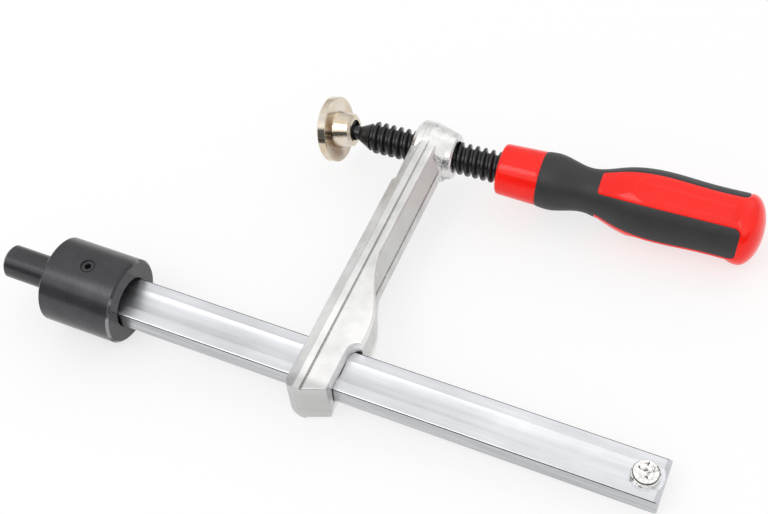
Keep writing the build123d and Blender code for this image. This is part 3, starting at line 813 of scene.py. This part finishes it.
def handle_surfaces(hollow, seam):
    """Outer grids of the hard body and of the soft grip, the grip's inner grid, and the cells that the grip keeps.

    Both follow the same smooth profile. The hard body drops by the grip's thickness inside the grip's edge. Each
    panel is dished inside a narrow rim and lowered further by a thumb hollow with a rounded front end, and both
    sides of the parting line are rounded off by a bell curve.
    """
    along, turn, radius = handle_grid()
    inside, off = grip_depth(along, turn, radius)
    side = radius * off - radius * pi / (2 * PANEL_COUNT)
    panel = corner(np.maximum(PANEL_START - along, along - PANEL_END), side, PANEL_CORNER)
    basin = corner(HOLLOW_START - along, side + HOLLOW_SIDE, HOLLOW_CORNER)
    basin = np.maximum(basin, along - PANEL_END + HOLLOW_TAIL)
    hollowed = DISH_DEPTH * smooth((-panel - DISH_RIM) / DISH_SLOPE) + hollow * smooth(-basin / HOLLOW_SLOPE)
    bell = seam * np.exp(-(inside / SEAM_WIDE)**2)
    hard = radius - hollowed - bell - STEP_DEPTH * smooth((inside - STEP_AT) / STEP_WIDE)
    soft = radius - bell - GRIP_DROP * smooth((STEP_AT - inside) / STEP_WIDE)
    deep = radius - GRIP_DEEP
    cell = (inside[:-1] + inside[1:]) / 2
    cell = (cell + np.roll(cell, -1, axis=1)) / 2
    kept = cell > -KEPT_PAST
    place = HANDLE_AT + along
    return on_screw(place, hard, turn), on_screw(place, soft, turn), on_screw(place, deep, turn), kept


# Operators

class CLAMP_OT_bar(bpy.types.Operator):
    """Finish the profile bar in drawn bright zinc"""

    bl_idname = "clamp.bar"
    bl_label = "Bar"

    def execute(self, context):
        finished(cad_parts["bar"], zinc_finish(context.scene.clamp_metal))
        return {"FINISHED"}


class CLAMP_OT_black_steel(bpy.types.Operator):
    """Finish the collar, the table pin, and the grub screw in black oxide"""

    bl_idname = "clamp.black_steel"
    bl_label = "Collar, pin and grub screw"

    def execute(self, context):
        settings = context.scene.clamp_metal
        finished(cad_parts["collar"], oxide_finish("Black collar", settings, 0.22, worn_and_shaded=True))
        plain = oxide_finish("Black pin", settings, 0.22)
        finished(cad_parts["table_pin"], plain)
        finished(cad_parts["grub_screw"], plain)
        return {"FINISHED"}


class CLAMP_OT_rivet(bpy.types.Operator):
    """Make the stop rivet with its hammered heads"""

    bl_idname = "clamp.rivet"
    bl_label = "Stop rivet"

    def execute(self, context):
        piece = turned("hammered_rivet", rivet_surface(), crease=50.0)
        settled(piece, peened_finish(), "bar_group", "peened_steel", "stop_rivet")
        return {"FINISHED"}


class CLAMP_OT_arm(bpy.types.Operator):
    """Finish the sliding arm as a plated forging"""

    bl_idname = "clamp.arm"
    bl_label = "Sliding arm"

    def execute(self, context):
        finished(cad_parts["sliding_arm"], forged_finish(context.scene.clamp_metal))
        return {"FINISHED"}


class CLAMP_OT_screw(bpy.types.Operator):
    """Make the screw with its rounded right-hand thread"""

    bl_idname = "clamp.screw"
    bl_label = "Screw"

    def execute(self, context):
        settings = context.scene.clamp_metal
        piece = turned("clamp_screw", screw_surface(settings.crest_round), crease=60.0)
        settled(piece, oxide_finish("Black screw", settings, 0.20, tone=0.6), "screw", "black_oxide", "spindle")
        return {"FINISHED"}


class CLAMP_OT_pad(bpy.types.Operator):
    """Finish the swivel pad and its snap ring"""

    bl_idname = "clamp.pad"
    bl_label = "Pressure pad"

    def execute(self, context):
        finished(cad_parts["pressure_pad"], pad_finish(context.scene.clamp_metal))
        finished(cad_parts["ball_snap_ring"], spring_finish())
        return {"FINISHED"}


class CLAMP_OT_handle(bpy.types.Operator):
    """Make the handle's hard body and its soft grip"""

    bl_idname = "clamp.handle"
    bl_label = "Handle"

    def execute(self, context):
        settings = context.scene.clamp_handle
        hard, soft, deep, kept = handle_surfaces(settings.hollow_depth / MM, settings.seam_depth / MM)
        body = turned("handle_body", hard)
        settled(body, panel_finish(settings), "screw", "red_plastic", "handle_core")
        grip = shell("handle_soft_grip", soft, deep, kept)
        settled(grip, grip_finish(settings), "screw", "soft_grip", "handle_grip")
        return {"FINISHED"}


# Floor plane through the three points that the clamp lies on, and the photograph's viewpoint in mm, with its focal
# length in the photograph's pixels
RESTS_ON = np.array([(37.0, 0.0, -20.2), (262.0, 138.2, -17.6), (140.0, -15.0, -13.5)]) * MM
FLOOR_MIDDLE, FLOOR_REACH, FLOOR_GAP = np.array([0.12, 0.04, 0.0]), 4.0, 0.00005
EYE = (302.5485, -245.5014, 499.4676)
YAW, PITCH_DOWN, ROLL, FOCAL_PX = -0.4899, 0.9569, -0.1034, 1305.639
PHOTO_WIDTH_PX, SENSOR_WIDTH = 768.0, 36.0
# Lamps: name, place, target and size in metres, and share of the key power
LAMPS = (
    ("key_lamp", (-0.30, -0.45, 1.05), (0.10, 0.03, 0.0), 0.55, 1.0),
    ("back_lamp", (0.35, 1.1, 0.9), (0.13, 0.05, 0.0), 0.9, 0.45),
)
# Room seen in reflections, by a direction's Y and Z, each with where the change starts and ends: the near wall, the
# dark part's top, the bright panel's foot and top, the walls' growth to white, and the ceiling
NEAR_WALL, DARK_TOP, PANEL_FOOT, PANEL_TOP = (-0.62, -0.25), (0.46, 0.52), (0.52, 0.58), (0.86, 0.94)
WALL_FADE, CEILING = (0.10, 0.80), (0.84, 1.0)
DARK_SHARE, PANEL_LIGHT, CEILING_LIGHT = 0.84, 0.55, 0.30


def photo_camera():
    """Camera from its yaw about Z, its pitch down and its roll, with the lens that gives the focal length."""
    ahead = Vector((sin(YAW) * cos(PITCH_DOWN), cos(YAW) * cos(PITCH_DOWN), -sin(PITCH_DOWN)))
    level = ahead.cross(Vector((0, 0, 1))).normalized()
    above = level.cross(ahead)
    right = cos(ROLL) * level + sin(ROLL) * above
    up = -sin(ROLL) * level + cos(ROLL) * above
    data = bpy.data.cameras.new("photo_camera")
    data.sensor_width = SENSOR_WIDTH
    data.lens = FOCAL_PX * SENSOR_WIDTH / PHOTO_WIDTH_PX
    data.clip_start, data.clip_end = 0.01, 20.0
    camera = placed("photo_camera", data)
    camera.matrix_world = Matrix.Translation(Vector(EYE) * MM) @ Matrix((right, up, -ahead)).transposed().to_4x4()
    bpy.context.scene.camera = camera


def area_lamp(name, place, target, size, power):
    """Square area lamp at a place, facing a target, in metres."""
    data = bpy.data.lights.new(name, "AREA")
    data.size = size
    data.energy = power
    lamp = placed(name, data)
    lamp.location = place
    lamp.rotation_euler = (Vector(target) - Vector(place)).to_track_quat("-Z", "Y").to_euler()


def white_world(level, wall_tone):
    """World that lights at the level, is white to the camera, and shows a room in reflections.

    The room's walls are grey below and grow to white, and its ceiling is brighter still overhead. On the side of
    negative Y, where a photographer would stand, the wall is dark up to a crisp edge, with a bright panel above it.
    """
    world = bpy.data.worlds.new("white_studio")
    world.use_nodes = True
    tree = world.node_tree
    seen = tree.nodes.new("ShaderNodeLightPath").outputs
    _, y, z = xyz(tree, tree.nodes.new("ShaderNodeTexCoord").outputs["Generated"])
    near = fall(tree, y, *NEAR_WALL)
    dark = product(tree, near, fall(tree, z, *DARK_TOP))
    panel = product(tree, near, rise(tree, z, *PANEL_FOOT), fall(tree, z, *PANEL_TOP))
    room = math(tree, "ADD", ramp(tree, z, wall_tone, 1.0, *WALL_FADE), rise(tree, z, *CEILING, CEILING_LIGHT))
    room = product(tree, room, math(tree, "SUBTRACT", 1.0, product(tree, dark, DARK_SHARE)))
    room = math(tree, "ADD", room, product(tree, panel, PANEL_LIGHT))
    mirrored = largest(tree, seen["Is Glossy Ray"], seen["Is Transmission Ray"])
    plain = math(tree, "SUBTRACT", 1.0, mirrored)
    lit = math(tree, "ADD", product(tree, mirrored, room), product(tree, plain, level))
    strength = largest(tree, lit, seen["Is Camera Ray"])
    feed(tree, tree.nodes["Background"], Color=(1.0, 1.0, 1.0, 1.0), Strength=strength)
    bpy.context.scene.world = world


def floor_finish(tone, glow):
    """White paper: the camera and reflections see part of its own white, and the rest is lit, so shadows stay."""
    material, tree, surface = finish_of("Pale floor", (tone,) * 3, 0.0, 0.9)
    feed(tree, surface, Specular_IOR_Level=0.0)
    seen = tree.nodes.new("ShaderNodeLightPath").outputs
    shown = largest(tree, seen["Is Camera Ray"], seen["Is Glossy Ray"], seen["Is Transmission Ray"])
    white = node(tree, "ShaderNodeEmission", Color=(1.0, 1.0, 1.0, 1.0), Strength=1.0)
    blend = node(tree, "ShaderNodeMixShader", Fac=product(tree, shown, glow))
    tree.links.new(surface.outputs["BSDF"], blend.inputs[1])
    tree.links.new(white.outputs["Emission"], blend.inputs[2])
    tree.links.new(blend.outputs["Shader"], tree.nodes["Material Output"].inputs["Surface"])
    return material


class CLAMP_OT_stage(bpy.types.Operator):
    """Set up the pale floor, the soft lamps, and the camera at the photograph's viewpoint"""

    bl_idname = "clamp.stage"
    bl_label = "Studio"

    def execute(self, context):
        settings = context.scene.clamp_stage
        a, b, c = RESTS_ON
        up = np.cross(b - a, c - a)
        up = up / np.linalg.norm(up) * np.sign(up[2])
        middle = FLOOR_MIDDLE - up * ((FLOOR_MIDDLE - a) @ up + FLOOR_GAP)
        side = np.cross([0.0, 1.0, 0.0], up)
        side /= np.linalg.norm(side)
        back = np.cross(up, side)
        reach = np.array([(-1, -1), (1, -1), (1, 1), (-1, 1)]) * FLOOR_REACH
        corners = middle + reach[:, :1] * side + reach[:, 1:] * back
        mesh = bpy.data.meshes.new("studio_floor")
        mesh.from_pydata(corners.tolist(), [], [(0, 1, 2, 3)])
        floor = placed("studio_floor", mesh)
        finished(floor, floor_finish(settings.floor_tone, settings.floor_glow))
        photo_camera()
        for name, place, target, size, share in LAMPS:
            area_lamp(name, place, target, size, share * settings.key_power)
        white_world(settings.sky_level, settings.wall_tone)
        context.scene.view_settings.view_transform = "Standard"
        return {"FINISHED"}


class CLAMP_PT_looks(bpy.types.Panel):
    """Lists the clamp's pieces and its studio"""

    bl_label = "Bar Clamp"
    bl_idname = "CLAMP_PT_looks"
    bl_space_type = "VIEW_3D"
    bl_region_type = "UI"
    bl_category = "Clamp"

    def draw(self, context):
        for name, group in (("Metal", "clamp_metal"), ("Handle", "clamp_handle"), ("Studio", "clamp_stage")):
            box = self.layout.box()
            box.label(text=name)
            settings = getattr(context.scene, group)
            for key in settings.bl_rna.properties.keys():
                if key not in {"rna_type", "name"}:
                    box.prop(settings, key)
        for made in OPERATORS:
            self.layout.operator(made.bl_idname)


OPERATORS = (
    CLAMP_OT_bar, CLAMP_OT_black_steel, CLAMP_OT_rivet, CLAMP_OT_arm,
    CLAMP_OT_screw, CLAMP_OT_pad, CLAMP_OT_handle, CLAMP_OT_stage,
)
CLASSES = (ClampMetalSettings, ClampHandleSettings, ClampStageSettings, *OPERATORS, CLAMP_PT_looks)


def register():
    """Registers the classes and hangs the settings on the scene."""
    for made in CLASSES:
        bpy.utils.register_class(made)
    bpy.types.Scene.clamp_metal = bpy.props.PointerProperty(type=ClampMetalSettings)
    bpy.types.Scene.clamp_handle = bpy.props.PointerProperty(type=ClampHandleSettings)
    bpy.types.Scene.clamp_stage = bpy.props.PointerProperty(type=ClampStageSettings)


def unregister():
    """Takes the settings and the classes away again."""
    del bpy.types.Scene.clamp_stage
    del bpy.types.Scene.clamp_handle
    del bpy.types.Scene.clamp_metal
    for made in reversed(CLASSES):
        bpy.utils.unregister_class(made)


def main():
    """Makes every piece and the studio, in order."""
    register()
    bpy.ops.clamp.bar()
    bpy.ops.clamp.black_steel()
    bpy.ops.clamp.rivet()
    bpy.ops.clamp.arm()
    bpy.ops.clamp.screw()
    bpy.ops.clamp.pad()
    bpy.ops.clamp.handle()
    bpy.ops.clamp.stage()


if __name__ == "__main__":
    main()
